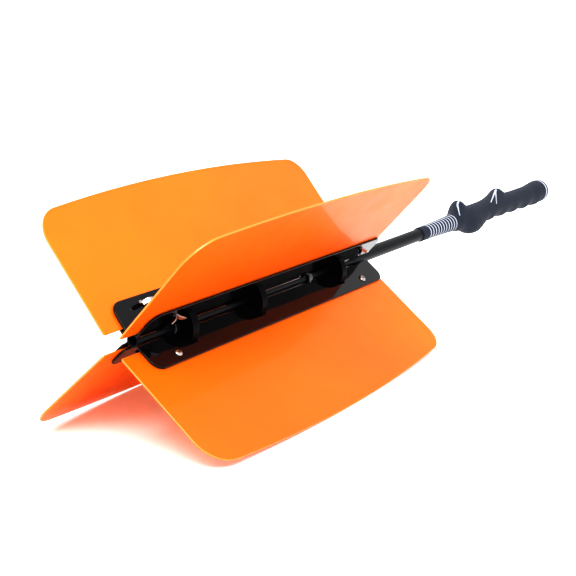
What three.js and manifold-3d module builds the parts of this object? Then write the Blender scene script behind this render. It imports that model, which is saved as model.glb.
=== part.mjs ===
// Golf swing resistance fan: four sheet blades hinged on a steel shaft with a moulded training grip.
// Units are millimetres, +Z is up. The shaft axis is the X axis and the blades start at X = 0.
import * as THREE from 'three';
import { mergeVertices } from 'three/addons/utils/BufferGeometryUtils.js';
import ManifoldModule from 'manifold-3d';

const wasm = await ManifoldModule();
wasm.setup();

// ---------- driving dimensions ----------
const FIT_GAP = 0.3; // clearance kept between pieces that touch
const RUNNING_GAP = 0.1; // radial clearance of the knuckles on the shaft
const ROUND = 24; // facets around round parts

const BLADE_LENGTH = 320;
const BLADE_CORNER_RADIUS_FROM_AXIS = 100.8; // outer edge height where the sharp corners would be
const BLADE_BULGE = 8.6; // rise of the curved outer edge at mid length
const BLADE_INNER = 9.5;
const BLADE_THICKNESS = 1.3;
const BLADE_NEAR_CORNER = 24;
const BLADE_FAR_CORNER = 17.5;

const PLATE_START = 17.5;
const PLATE_END = 322.5;
const PLATE_INNER = 6.2;
const PLATE_CHAMFER = 0.6; // bevel on the inner edge, so closing leaves clear each other
const PLATE_OUTER = 27.7;
const PLATE_CORNER = 9;
const PLATE_THICKNESS = 1.5;
const PLATE_FACE = BLADE_THICKNESS / 2 + FIT_GAP + PLATE_THICKNESS;

const LEAF_ANGLE = { A: 53, B: 134.5, C: 220, D: 320 }; // degrees from +Y about +X
const LEAF_NAMES = Object.keys(LEAF_ANGLE);

const KNUCKLE_STATIONS = [65.4, 148.6, 264.4];
const KNUCKLE_WIDTH = 1.4;
const KNUCKLE_PITCH = 1.7;
const KNUCKLE_RADIUS = 18;
const KNUCKLE_ROOT = 4; // how far the hinge plate reaches into its own knuckle
const NOTCH_GAP = 0.5; // clearance of the notches over the knuckles and collars

const HUB_SHAFT_RADIUS = 4.8;
const SHAFT_RADIUS = 5.7;
const SHAFT_BORE = 3.5;
const SHAFT_START = 20.5;
const SHAFT_CHAMFER = 0.6;
const SHAFT_TAPER_START = 294;
const SHAFT_TAPER_END = 306;
const SHAFT_END = 720;

const COLLAR_RADIUS = 7;
const COLLAR_WIDTH = 4.2;
const COLLAR_CHAMFER = 0.5;
const LOCK_COLLAR_X = 231;
const LOCK_COLLAR_WIDTH = 5;
const LOCK_TURN = 35; // degrees that the set screw leans from -Y towards -Z
const SCREW_RADIUS = 1.4;
const SCREW_SOCKET = 0.7;
const SCREW_SOCKET_DEPTH = 1.1;
const SCREW_SUNK = 0.1;
const SCREW_CHAMFER = 0.3;

const RIVET_X = [45, 293.5];
const RIVET_R = 21;
const RIVET_SHANK = 1.5;
const RIVET_HEAD = 3;
const RIVET_HEAD_HEIGHT = 1.2;
const RIVET_DIMPLE = 1;
const RIVET_BITE = 0.2; // how far the head and the legs run into the shank
const RIVET_LEG_LENGTH = 7.4;
const RIVET_LEG_THICKNESS = 0.8;
const RIVET_LEG_WIDTH = 3;
const RIVET_LEG_SPLAY = 57; // degrees from the rivet axis

const GRIP_START = 433;
const GRIP_END = 732;
const GRIP_BORE = SHAFT_RADIUS + FIT_GAP;
const GRIP_AROUND = 24;
const GRIP_STEP = 5.5;
const GRIP_TURN = 22; // degrees that the thumb ridges lean from +Z towards +Y
// [position along X, distance from the axis] along the thumb ridges, the finger side and the flanks
const GRIP_TOP = [
  [433, 6.7], [503, 8.3], [510, 9.8], [517, 13.2], [524.5, 17.3], [530, 19], [534.5, 17.8],
  [540, 13.6], [545.5, 11.3], [551, 10.8], [575, 10.9], [592, 11.8], [608, 14.1], [618, 16.3],
  [626, 18], [631.5, 17.2], [638, 13.4], [644, 10.8], [671, 10.2], [697, 10.2], [712, 11], [732, 12.3],
];
const GRIP_UNDER = [
  [433, 6.7], [503, 8.3], [512, 9.6], [520, 10.3], [527, 12.6], [534, 15.4], [541, 17], [550, 17.3],
  [559, 15.5], [569, 12.9], [579, 10.1], [604, 10], [635, 10.6], [665, 11.2], [700, 12], [732, 12.3],
];
const GRIP_SIDE = [
  [433, 6.7], [503, 8.1], [520, 9.6], [540, 10.8], [565, 10.2], [627, 10.6], [660, 10.3],
  [700, 10.6], [718, 11.8], [732, 12.3],
];
const FINGER_RIPPLE = { first: 590, pitch: 31, from: 577, to: 728, height: 0.9 };
const GRIP_LEAN = 14; // how far the ridges run towards the rings on their way down the flanks
const GRIP_LEAN_START = 509;
const GRIP_LEAN_FADE = 16;
const GRIP_RIDGE_POWER = 4; // larger values make the ridge narrower

const RING_COUNT = 11;
const RING_FIRST = 447.5;
const RING_PITCH = 5.4;
const RING_WIDTH = 2.2;
const RING_PROUD = 0.15;
const RING_DEPTH = 0.55;

const MARK_WIDTH = 1.8;
const MARK_GROOVE = 0.9;
const MARK_PROUD = 0.12;
const MARK_SPAN = [505, 660]; // stretch of the grip that holds the marks
// each mark is a run of straight bars between points [x, height over the axis], seen from the flank
const MARKS = {
  Grip_Mark_Fore: [[528, 17.2], [525.1, 16.2], [520.9, 13.7], [517.8, 10.6], [515, 7.4], [512.3, 4.1]],
  Grip_Mark_Rear: [
    [588.8, 5.7], [621.8, 16.2], [616.2, 14], [610.3, 10.9], [603.8, 6.9], [597.6, 2.4],
  ],
};

const CAP_RING_WIDTH = 3;
const CAP_LENGTH = 7.6;
const CAP_RADIUS = 12.3;
const CAP_EDGE = 2.6;
const CAP_PLUG_RADIUS = 5.6;
const CAP_PLUG_START = 724;
const CAP_VENT = 1.5;

// ---------- materials ----------
const MATERIALS = {
  blade: { color: '#ff8a14', roughness: 0.12, metalness: 0, opacity: 0.82, transparent: true },
  plate: { color: '#0a0b0d', roughness: 0.14, metalness: 0 },
  shaft: { color: '#22262a', roughness: 0.34, metalness: 0.25 },
  collar: { color: '#101214', roughness: 0.3, metalness: 0.1 },
  steel: { color: '#d9d9d6', roughness: 0.18, metalness: 1 },
  grip: { color: '#262b36', roughness: 0.72, metalness: 0 },
  mark: { color: '#e4e8f2', roughness: 0.55, metalness: 0 },
  cap: { color: '#1d212a', roughness: 0.6, metalness: 0 },
};

// ---------- solid helpers ----------
function toSolid(geometry) {
  const bare = geometry.clone();
  for (const name of ['normal', 'uv']) bare.deleteAttribute(name);
  const welded = mergeVertices(bare, 1e-5);
  return new wasm.Manifold(new wasm.Mesh({
    numProp: 3,
    vertProperties: new Float32Array(welded.attributes.position.array),
    triVerts: new Uint32Array(welded.index.array),
  }));
}

function toGeometry(solid) {
  const mesh = solid.getMesh();
  const geometry = new THREE.BufferGeometry();
  geometry.setAttribute('position', new THREE.BufferAttribute(new Float32Array(mesh.vertProperties), 3));
  geometry.setIndex(new THREE.BufferAttribute(new Uint32Array(mesh.triVerts), 1));
  const flat = geometry.toNonIndexed();
  flat.computeVertexNormals();
  return flat;
}

function prism(outline, holes, from, to) {
  const shape = new THREE.Shape(outline.map(([x, y]) => new THREE.Vector2(x, y)));
  for (const hole of holes) shape.holes.push(new THREE.Path(hole.map(([x, y]) => new THREE.Vector2(x, y))));
  const geometry = new THREE.ExtrudeGeometry(shape, { depth: to - from, bevelEnabled: false });
  geometry.translate(0, 0, from);
  return geometry;
}

// solid of revolution about the X axis; profile is a closed loop of [x, radius]
function turned(profile, segments) {
  const points = profile.map(([x, radius]) => new THREE.Vector2(radius, x));
  points.push(points[0].clone());
  const geometry = new THREE.LatheGeometry(points, segments);
  geometry.rotateZ(-Math.PI / 2);
  return geometry;
}

function tube(x0, x1, outer, inner, chamfer, segments) {
  const rim = chamfer > 0
    ? [[x0, outer - chamfer], [x0 + chamfer, outer], [x1 - chamfer, outer], [x1, outer - chamfer]]
    : [[x0, outer], [x1, outer]];
  return turned([[x0, inner], ...rim, [x1, inner]], segments);
}

function arc(cx, cy, radius, from, to, count) {
  const points = [];
  for (let i = 0; i <= count; i += 1) {
    const angle = from + ((to - from) * i) / count;
    points.push([cx + radius * Math.cos(angle), cy + radius * Math.sin(angle)]);
  }
  return points;
}

function circle(cx, cy, radius, count) {
  return arc(cx, cy, radius, 0, 2 * Math.PI, count).slice(0, count);
}

// ---------- leaves ----------
// slot ranges along X taken by the knuckle of each leaf at one station
function slot(station, index) {
  const first = station - KNUCKLE_PITCH * 1.5 - KNUCKLE_WIDTH / 2;
  const start = first + index * KNUCKLE_PITCH;
  return [start, start + KNUCKLE_WIDTH];
}

// clearance cut into the inner edge of a sheet: [from, to, depth] along X
function innerSteps(ownIndex, keepOwnSlot, base) {
  const clear = KNUCKLE_RADIUS + NOTCH_GAP;
  const collarClear = COLLAR_RADIUS + NOTCH_GAP;
  const steps = [];
  for (const station of KNUCKLE_STATIONS) {
    for (let i = 0; i < LEAF_NAMES.length; i += 1) {
      const [from, to] = slot(station, i);
      const margin = (KNUCKLE_PITCH - KNUCKLE_WIDTH) * 0.75;
      if (keepOwnSlot && i === ownIndex) {
        steps.push([from, to, KNUCKLE_RADIUS - KNUCKLE_ROOT]);
      } else {
        const ownEnd = slotEnd(station, i, ownIndex, keepOwnSlot);
        const low = i === 0 ? from - NOTCH_GAP : Math.max(from - margin, ownEnd);
        const high = to + (i === LEAF_NAMES.length - 1 ? NOTCH_GAP : margin);
        steps.push([low, high, clear]);
      }
    }
  }
  const near = slot(KNUCKLE_STATIONS[0], 0)[0];
  const far = slot(KNUCKLE_STATIONS[2], LEAF_NAMES.length - 1)[1];
  steps.push([near - COLLAR_WIDTH - 2, near, collarClear]);
  steps.push([far, far + COLLAR_WIDTH + 2, collarClear]);
  const half = LOCK_COLLAR_WIDTH / 2 + 1;
  steps.push([LOCK_COLLAR_X - half, LOCK_COLLAR_X + half, collarClear]);
  return edgeFrom(steps, base);
}

// a notch next to the kept slot starts where that slot ends
function slotEnd(station, index, ownIndex, keepOwnSlot) {
  if (keepOwnSlot && index - 1 === ownIndex) return slot(station, ownIndex)[1];
  return -Infinity;
}

// turns overlapping steps into one staircase of [x, depth] points running towards -X
function edgeFrom(steps, base) {
  const cuts = [...new Set(steps.flatMap(([from, to]) => [from, to]))].sort((a, b) => a - b);
  const depthAt = (x) => {
    const inside = steps.filter(([from, to]) => x > from && x < to).map((step) => step[2]);
    return inside.length ? Math.max(...inside) : base;
  };
  const points = [];
  let depth = base;
  for (let i = 0; i < cuts.length; i += 1) {
    const next = i + 1 < cuts.length ? depthAt((cuts[i] + cuts[i + 1]) / 2) : base;
    if (next !== depth) {
      points.push([cuts[i], depth], [cuts[i], next]);
      depth = next;
    }
  }
  return points.reverse();
}

function bladeOutline() {
  const half = BLADE_LENGTH / 2;
  const bigRadius = (half * half + BLADE_BULGE * BLADE_BULGE) / (2 * BLADE_BULGE);
  const bigCentre = BLADE_CORNER_RADIUS_FROM_AXIS + BLADE_BULGE - bigRadius;
  const corner = (radius, side) => {
    const x = half + side * (half - radius);
    const y = bigCentre + Math.sqrt((bigRadius - radius) ** 2 - (x - half) ** 2);
    return { x, y, radius, tangent: Math.atan2(y - bigCentre, x - half) };
  };
  const far = corner(BLADE_FAR_CORNER, 1);
  const near = corner(BLADE_NEAR_CORNER, -1);
  return [
    [0, BLADE_INNER],
    ...innerSteps(-1, false, BLADE_INNER).reverse(),
    [BLADE_LENGTH, BLADE_INNER],
    ...arc(far.x, far.y, far.radius, 0, far.tangent, 6),
    ...arc(half, bigCentre, bigRadius, far.tangent, near.tangent, 18).slice(1, -1),
    ...arc(near.x, near.y, near.radius, near.tangent, Math.PI, 8),
  ];
}

function plateOutline(ownIndex, keepOwnSlot, inner) {
  const c = PLATE_CORNER;
  return [
    [PLATE_START, inner],
    ...innerSteps(ownIndex, keepOwnSlot, inner).reverse(),
    [PLATE_END, inner],
    ...arc(PLATE_END - c, PLATE_OUTER - c, c, 0, Math.PI / 2, 6),
    ...arc(PLATE_START + c, PLATE_OUTER - c, c, Math.PI / 2, Math.PI, 6),
  ];
}

const rivetHoles = RIVET_X.map((x) => circle(x, RIVET_R, RIVET_SHANK + FIT_GAP, 12).reverse());

// one cover plate: two layers, the outer one set back along the inner edge
function plateSolid(ownIndex, keepOwnSlot, side) {
  const inside = BLADE_THICKNESS / 2 + FIT_GAP;
  const middle = inside + PLATE_THICKNESS / 2;
  const layers = [[inside, middle, PLATE_INNER], [middle, PLATE_FACE, PLATE_INNER + PLATE_CHAMFER]];
  let solid = null;
  for (const [low, high, inner] of layers) {
    const from = side > 0 ? low : -high;
    const to = side > 0 ? high : -low;
    const layer = toSolid(prism(plateOutline(ownIndex, keepOwnSlot, inner), rivetHoles, from, to));
    solid = solid ? solid.add(layer) : layer;
  }
  return solid;
}

function knuckleSolid(station, index) {
  const [from, to] = slot(station, index);
  return toSolid(tube(from, to, KNUCKLE_RADIUS, HUB_SHAFT_RADIUS + RUNNING_GAP, 0, ROUND));
}

function hingePlate(index) {
  let solid = plateSolid(index, true, 1);
  for (const station of KNUCKLE_STATIONS) solid = solid.add(knuckleSolid(station, index));
  return toGeometry(solid);
}

// split rivet along +Z with its head below and two splayed legs above
function rivet(x) {
  const seat = -PLATE_FACE - FIT_GAP;
  const top = PLATE_FACE + FIT_GAP;
  const head = new THREE.LatheGeometry([
    new THREE.Vector2(0, seat),
    new THREE.Vector2(RIVET_HEAD, seat),
    new THREE.Vector2(RIVET_HEAD * 0.92, seat - RIVET_HEAD_HEIGHT * 0.55),
    new THREE.Vector2(RIVET_HEAD * 0.6, seat - RIVET_HEAD_HEIGHT),
    new THREE.Vector2(RIVET_DIMPLE, seat - RIVET_HEAD_HEIGHT),
    new THREE.Vector2(RIVET_DIMPLE, seat - RIVET_HEAD_HEIGHT * 0.4),
    new THREE.Vector2(0, seat - RIVET_HEAD_HEIGHT * 0.4),
  ].reverse(), 16);
  head.rotateX(Math.PI / 2);
  const length = top - seat + 2 * RIVET_BITE;
  const shank = new THREE.CylinderGeometry(RIVET_SHANK, RIVET_SHANK, length, 12);
  shank.rotateX(Math.PI / 2);
  shank.translate(0, 0, (top + seat) / 2);
  let solid = toSolid(head).add(toSolid(shank));
  for (const side of [-1, 1]) {
    const leg = new THREE.BoxGeometry(RIVET_LEG_THICKNESS, RIVET_LEG_WIDTH, RIVET_LEG_LENGTH);
    leg.translate(0, 0, RIVET_LEG_LENGTH / 2);
    leg.rotateY((side * RIVET_LEG_SPLAY * Math.PI) / 180);
    leg.translate((side * RIVET_LEG_THICKNESS) / 2, 0, top - RIVET_BITE);
    solid = solid.add(toSolid(leg));
  }
  const geometry = toGeometry(solid);
  geometry.translate(x, RIVET_R, 0);
  return geometry;
}

// ---------- grip ----------
// smooth curve through a table of [x, y] that never overshoots between two points
function curve(table) {
  const slope = (i) => (table[i + 1][1] - table[i][1]) / (table[i + 1][0] - table[i][0]);
  const tangent = (i) => {
    if (i === 0 || i === table.length - 1) return 0;
    const [before, after] = [slope(i - 1), slope(i)];
    return before * after > 0 ? (2 * before * after) / (before + after) : 0;
  };
  return (x) => {
    if (x <= table[0][0]) return table[0][1];
    const i = table.findIndex(([at]) => x <= at) - 1;
    if (i < 0) return table[table.length - 1][1];
    const width = table[i + 1][0] - table[i][0];
    const t = (x - table[i][0]) / width;
    const start = table[i][1] * (1 + 2 * t) * (1 - t) ** 2 + tangent(i) * width * t * (1 - t) ** 2;
    const end = table[i + 1][1] * t * t * (3 - 2 * t) - tangent(i + 1) * width * t * t * (1 - t);
    return start + end;
  };
}

const gripTop = curve(GRIP_TOP);
const gripUnder = curve(GRIP_UNDER);
const gripSide = curve(GRIP_SIDE);

function fingerRipple(x) {
  const { first, pitch, from, to, height } = FINGER_RIPPLE;
  if (x < from || x > to) return 0;
  const fade = Math.min(1, (x - from) / 8, (to - x) / 8);
  return fade * height * Math.cos((2 * Math.PI * (x - first)) / pitch);
}

// angle 0 is the line of the thumb ridges, 180 degrees the finger side
function gripRadius(x, angle) {
  const side = gripSide(x);
  const fade = Math.min(1, Math.max(0, (x - GRIP_LEAN_START) / GRIP_LEAN_FADE));
  const leaned = x + GRIP_LEAN * fade * Math.sin(angle) ** 2;
  const upper = Math.max(0, Math.cos(angle)) ** GRIP_RIDGE_POWER;
  const lower = Math.max(0, -Math.cos(angle)) ** 2;
  const ridge = gripTop(leaned) - gripSide(leaned);
  return side + ridge * upper + (gripUnder(x) + fingerRipple(x) - side) * lower;
}

// closed loop of sections around the X axis; each section is [x, radius at angle]
function loft(sections) {
  const positions = [];
  const index = [];
  const count = sections.length;
  for (const [x, radiusAt] of sections) {
    for (let j = 0; j < GRIP_AROUND; j += 1) {
      const angle = (2 * Math.PI * j) / GRIP_AROUND;
      const radius = radiusAt(angle);
      positions.push(x, -radius * Math.sin(angle), radius * Math.cos(angle));
    }
  }
  for (let i = 0; i < count; i += 1) {
    for (let j = 0; j < GRIP_AROUND; j += 1) {
      const a = i * GRIP_AROUND + j;
      const b = i * GRIP_AROUND + ((j + 1) % GRIP_AROUND);
      const c = ((i + 1) % count) * GRIP_AROUND + j;
      const d = ((i + 1) % count) * GRIP_AROUND + ((j + 1) % GRIP_AROUND);
      index.push(a, b, c, b, d, c);
    }
  }
  const geometry = new THREE.BufferGeometry();
  geometry.setAttribute('position', new THREE.Float32BufferAttribute(positions, 3));
  geometry.setIndex(index);
  return toSolid(geometry);
}

function gripSections(from, to, offset) {
  const count = Math.max(1, Math.round((to - from) / GRIP_STEP));
  const sections = [];
  for (let i = 0; i <= count; i += 1) {
    const x = from + ((to - from) * i) / count;
    sections.push([x, (angle) => gripRadius(x, angle) + offset]);
  }
  return sections;
}

function gripShell(from, to, inner, outer) {
  return loft([...gripSections(from, to, outer), ...gripSections(from, to, inner).reverse()]);
}

// bar lying on the flank of the grip between two points [x, z], cut through along -Y
function markBar([x0, z0], [x1, z1], width) {
  const length = Math.hypot(x1 - x0, z1 - z0) + width;
  const bar = new THREE.BoxGeometry(length, 30, width);
  bar.rotateY(-Math.atan2(z1 - z0, x1 - x0));
  bar.translate((x0 + x1) / 2, -15.5, (z0 + z1) / 2);
  return toSolid(bar);
}

function markRegion(path, width) {
  let region = markBar(path[0], path[1], width);
  for (let i = 2; i < path.length; i += 1) region = region.add(markBar(path[i - 1], path[i], width));
  return region;
}

function gripParts() {
  const parts = {};
  const sections = [[GRIP_START, (angle) => gripRadius(GRIP_START, angle)]];
  for (let i = 0; i < RING_COUNT; i += 1) {
    const x = RING_FIRST + i * RING_PITCH;
    const half = RING_WIDTH / 2;
    const radius = gripSide(x);
    const sunk = radius - RING_DEPTH;
    for (const [edge, depth] of [[-1, 0], [-1, 1], [1, 1], [1, 0]]) {
      const at = x + edge * (half + FIT_GAP);
      sections.push([at, () => (depth ? sunk - FIT_GAP : radius)]);
    }
    const name = `Grip_Ring_${String(i + 1).padStart(2, '0')}`;
    parts[name] = tube(x - half, x + half, radius + RING_PROUD, sunk, 0, GRIP_AROUND);
  }
  const lastRing = RING_FIRST + (RING_COUNT - 1) * RING_PITCH + RING_WIDTH;
  const plugBore = CAP_PLUG_RADIUS + FIT_GAP;
  const bore = [
    [GRIP_END, plugBore],
    [CAP_PLUG_START - 2, plugBore],
    [CAP_PLUG_START - 2, GRIP_BORE],
    [GRIP_START, GRIP_BORE],
  ].map(([x, radius]) => [x, () => radius]);
  let body = loft([...sections, ...gripSections(lastRing + FIT_GAP, GRIP_END, 0), ...bore]);
  const [first, last] = MARK_SPAN;
  for (const [name, path] of Object.entries(MARKS)) {
    const wide = markRegion(path, MARK_WIDTH + 2 * FIT_GAP);
    body = body.subtract(wide.intersect(gripShell(first, last, -MARK_GROOVE, 2)));
    const skin = gripShell(first, last, FIT_GAP - MARK_GROOVE, MARK_PROUD);
    parts[name] = toGeometry(markRegion(path, MARK_WIDTH).intersect(skin));
  }
  parts.Grip_Body = toGeometry(body);
  return parts;
}

// ---------- assembly ----------
const part = new THREE.Group();
part.name = 'Swing_Fan';

function place(name, geometry, material) {
  const mesh = new THREE.Mesh(geometry, new THREE.MeshStandardMaterial(MATERIALS[material]));
  mesh.name = name;
  part.add(mesh);
}

place('Shaft', turned([
  [SHAFT_START, SHAFT_BORE],
  [SHAFT_START, HUB_SHAFT_RADIUS - SHAFT_CHAMFER],
  [SHAFT_START + SHAFT_CHAMFER, HUB_SHAFT_RADIUS],
  [SHAFT_TAPER_START, HUB_SHAFT_RADIUS],
  [SHAFT_TAPER_END, SHAFT_RADIUS],
  [SHAFT_END, SHAFT_RADIUS],
  [SHAFT_END, SHAFT_BORE],
], ROUND), 'shaft');

const stackStart = slot(KNUCKLE_STATIONS[0], 0)[0] - FIT_GAP;
const stackEnd = slot(KNUCKLE_STATIONS[2], LEAF_NAMES.length - 1)[1] + FIT_GAP;
const collarBore = HUB_SHAFT_RADIUS + FIT_GAP;
const collar = (from, to) => tube(from, to, COLLAR_RADIUS, collarBore, COLLAR_CHAMFER, ROUND);
place('Collar_Near', collar(stackStart - COLLAR_WIDTH, stackStart), 'collar');
place('Collar_Far', collar(stackEnd, stackEnd + COLLAR_WIDTH), 'collar');

const lockHalf = LOCK_COLLAR_WIDTH / 2;
const lockTube = collar(LOCK_COLLAR_X - lockHalf, LOCK_COLLAR_X + lockHalf);
const holeRadius = SCREW_RADIUS + FIT_GAP;
const lockHole = new THREE.CylinderGeometry(holeRadius, holeRadius, COLLAR_RADIUS, 16);
lockHole.translate(LOCK_COLLAR_X, -COLLAR_RADIUS, 0);
const lockTurn = (LOCK_TURN * Math.PI) / 180;
lockHole.rotateX(lockTurn);
place('Collar_Lock', toGeometry(toSolid(lockTube).subtract(toSolid(lockHole))), 'collar');

const screwTop = COLLAR_RADIUS - SCREW_SUNK;
const screw = new THREE.LatheGeometry([
  new THREE.Vector2(0, collarBore),
  new THREE.Vector2(SCREW_RADIUS, collarBore),
  new THREE.Vector2(SCREW_RADIUS, screwTop - SCREW_CHAMFER),
  new THREE.Vector2(SCREW_RADIUS - SCREW_CHAMFER, screwTop),
  new THREE.Vector2(SCREW_SOCKET, screwTop),
  new THREE.Vector2(SCREW_SOCKET, screwTop - SCREW_SOCKET_DEPTH),
  new THREE.Vector2(0, screwTop - SCREW_SOCKET_DEPTH),
], 16);
screw.rotateX(Math.PI + lockTurn);
screw.translate(LOCK_COLLAR_X, 0, 0);
place('Lock_Screw', screw, 'steel');

LEAF_NAMES.forEach((leaf, index) => {
  const turn = (LEAF_ANGLE[leaf] * Math.PI) / 180;
  const half = BLADE_THICKNESS / 2;
  const pieces = {
    Blade: [prism(bladeOutline(), rivetHoles, -half, half), 'blade'],
    Hinge_Plate: [hingePlate(index), 'plate'],
    Backing_Plate: [toGeometry(plateSolid(-1, false, -1)), 'plate'],
    Rivet_Near: [rivet(RIVET_X[0]), 'steel'],
    Rivet_Far: [rivet(RIVET_X[1]), 'steel'],
  };
  for (const [piece, [geometry, material]] of Object.entries(pieces)) {
    geometry.rotateX(turn);
    place(`Leaf_${leaf}_${piece}`, geometry, material);
  }
});

const gripTurn = (-GRIP_TURN * Math.PI) / 180;
for (const [name, geometry] of Object.entries(gripParts())) {
  geometry.rotateX(gripTurn);
  place(name, geometry, name === 'Grip_Body' ? 'grip' : 'mark');
}

const capRingStart = GRIP_END + FIT_GAP;
const capRingEnd = capRingStart + CAP_RING_WIDTH;
const plugClear = CAP_PLUG_RADIUS + FIT_GAP;
place('Cap_Ring', tube(capRingStart, capRingEnd, CAP_RADIUS, plugClear, 0.2, ROUND), 'mark');

const capStart = capRingEnd + FIT_GAP;
const capEnd = capStart + CAP_LENGTH - CAP_RING_WIDTH;
place('Butt_Cap', turned([
  [CAP_PLUG_START, CAP_VENT],
  [CAP_PLUG_START, CAP_PLUG_RADIUS],
  [capStart, CAP_PLUG_RADIUS],
  [capStart, CAP_RADIUS],
  [capEnd - CAP_EDGE, CAP_RADIUS],
  [capEnd - CAP_EDGE * 0.4, CAP_RADIUS - CAP_EDGE * 0.3],
  [capEnd, CAP_RADIUS - CAP_EDGE],
  [capEnd, CAP_VENT],
], ROUND), 'cap');

// the part stands on Z = 0, centred over the origin
const bounds = new THREE.Box3().setFromObject(part);
const centre = bounds.getCenter(new THREE.Vector3());
part.position.set(-centre.x, -centre.y, -bounds.min.z);

export default part;
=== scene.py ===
import math

import bmesh
import bpy
from mathutils import Matrix, Vector
from mathutils.geometry import tessellate_polygon


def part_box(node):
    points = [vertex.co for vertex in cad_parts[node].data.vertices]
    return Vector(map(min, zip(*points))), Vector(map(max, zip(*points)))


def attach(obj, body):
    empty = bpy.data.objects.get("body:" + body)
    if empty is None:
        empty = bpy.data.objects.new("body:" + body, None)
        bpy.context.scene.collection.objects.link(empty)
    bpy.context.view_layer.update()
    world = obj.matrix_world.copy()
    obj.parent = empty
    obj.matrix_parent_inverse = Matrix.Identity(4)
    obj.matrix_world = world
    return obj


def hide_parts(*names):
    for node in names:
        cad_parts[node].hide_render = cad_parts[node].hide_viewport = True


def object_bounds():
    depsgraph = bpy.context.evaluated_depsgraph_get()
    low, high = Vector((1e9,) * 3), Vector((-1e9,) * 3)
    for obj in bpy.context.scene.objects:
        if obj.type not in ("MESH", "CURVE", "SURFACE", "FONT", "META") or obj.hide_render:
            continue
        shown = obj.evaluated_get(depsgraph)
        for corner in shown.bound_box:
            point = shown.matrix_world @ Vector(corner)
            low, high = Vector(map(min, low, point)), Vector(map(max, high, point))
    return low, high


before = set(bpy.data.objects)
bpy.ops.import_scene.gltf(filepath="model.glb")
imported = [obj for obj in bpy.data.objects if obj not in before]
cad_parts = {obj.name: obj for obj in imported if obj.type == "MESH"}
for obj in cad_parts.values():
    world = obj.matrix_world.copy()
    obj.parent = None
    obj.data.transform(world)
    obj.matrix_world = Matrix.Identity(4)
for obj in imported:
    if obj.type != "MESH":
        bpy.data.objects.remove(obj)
cad_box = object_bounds()

# ---------- dimensions ----------
# In millimetres and degrees, in the part's own frame: X runs along the shaft from the blades' near edge.
MM = 0.001
BLADE_LENGTH = 320.0
BLADE_CORNER = 100.8
BLADE_BULGE = 8.6
BLADE_INNER = 9.5
BLADE_THICKNESS = 1.3
BLADE_NEAR_CORNER = 24.0
BLADE_FAR_CORNER = 17.5
BLADE_FILLET = 0.35
BLADE_END_FILLET = 1.5
BLADE_NOTCH_FILLET = 0.6

GAP = 0.3  # clearance between pieces that are fitted together
PLATE_START = 17.5
PLATE_END = 322.5
PLATE_INNER = 6.4
PLATE_OUTER = 27.7
PLATE_CORNER = 9.0
PLATE_THICKNESS = 1.5
PLATE_FILLET = 0.5
PLATE_INSIDE = BLADE_THICKNESS / 2 + GAP
PLATE_FACE = PLATE_INSIDE + PLATE_THICKNESS
PLATE_END_FILLET = 1.0
NOTCH_FILLET = 0.35

# Angle of each leaf about the shaft, from +Y towards +Z. Their order is the order of their knuckles.
LEAF_ANGLE = {"A": 53.0, "B": 134.5, "C": 220.0, "D": 320.0}
LAST_LEAF = len(LEAF_ANGLE) - 1
KNUCKLE_STATIONS = (65.4, 148.6, 264.4)
KNUCKLE_WIDTH = 1.4
KNUCKLE_PITCH = 1.7
KNUCKLE_RADIUS = 18.0
KNUCKLE_ROOT = 4.0  # how far a plate reaches into its own knuckle
KNUCKLE_FILLET = 0.3
NOTCH_GAP = 0.5
COLLAR_NOTCH_PAST = 1.6  # how far a collar's notch runs past the collar

HUB_SHAFT_RADIUS = 4.8
RUNNING_GAP = 0.1
SHAFT_RADIUS = 5.7
SHAFT_BORE = 3.5
SHAFT_START = 20.5
SHAFT_TAPER = (294.0, 306.0)
SHAFT_END = 720.0

COLLAR_RADIUS = 7.0
COLLAR_WIDTH = 4.2
LOCK_COLLAR_X = 231.0
LOCK_COLLAR_WIDTH = 5.0
LOCK_TURN = 35.0
SCREW_RADIUS = 1.4
SCREW_SOCKET = 0.7
SCREW_CHAMFER = 0.3
SCREW_THREAD_PITCH = 0.25
SCREW_THREAD_DEPTH = 0.14
SCREW_SOCKET_DEPTH = 1.2

RIVET_X = (45.0, 293.5)
RIVET_R = 21.0
RIVET_SHANK = 1.5
RIVET_HEAD = 3.0
RIVET_HEAD_HEIGHT = 1.2
RIVET_DIMPLE = 1.0
RIVET_DIMPLE_DEPTH = 2.0
RIVET_LEG = 8.2
RIVET_LEG_THICKNESS = 1.0
RIVET_LEG_WIDTH = 3.2
RIVET_LEG_SPLAY = (32.0, 78.0)  # lean of a leg from upright at its root and at its tip
RIVET_LEG_STEPS = 14

GRIP_START = 433.0
GRIP_END = 732.0
GRIP_TURN = 22.0  # turn of the ridges about the shaft
# Radius of the rubber along the shaft: over the ridges, on the finger side, and on the flanks.
GRIP_TOP = (
    (433, 6.7), (503, 8.3), (510, 9.8), (517, 13.2), (524.5, 17.3), (530, 19), (534.5, 17.8),
    (540, 13.6), (545.5, 11.3), (551, 10.8), (575, 10.9), (592, 11.8), (608, 14.1), (618, 16.3),
    (626, 18), (631.5, 17.2), (638, 13.4), (644, 10.8), (671, 10.2), (697, 10.2), (712, 11), (732, 12.3),
)
GRIP_UNDER = (
    (433, 6.7), (503, 8.3), (512, 9.6), (520, 10.3), (527, 12.6), (534, 15.4), (541, 17), (550, 17.3),
    (559, 15.5), (569, 12.9), (579, 10.1), (604, 10), (635, 10.6), (665, 11.2), (700, 12), (732, 12.3),
)
GRIP_SIDE = (
    (433, 6.7), (503, 8.1), (520, 9.6), (540, 10.8), (565, 10.2), (627, 10.6), (660, 10.3),
    (700, 10.6), (718, 11.8), (732, 12.3),
)
RIPPLE_FIRST, RIPPLE_PITCH, RIPPLE_HEIGHT = 590.0, 31.0, 0.9
RIPPLE_FROM, RIPPLE_TO, RIPPLE_FADE = 577.0, 728.0, 8.0
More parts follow.
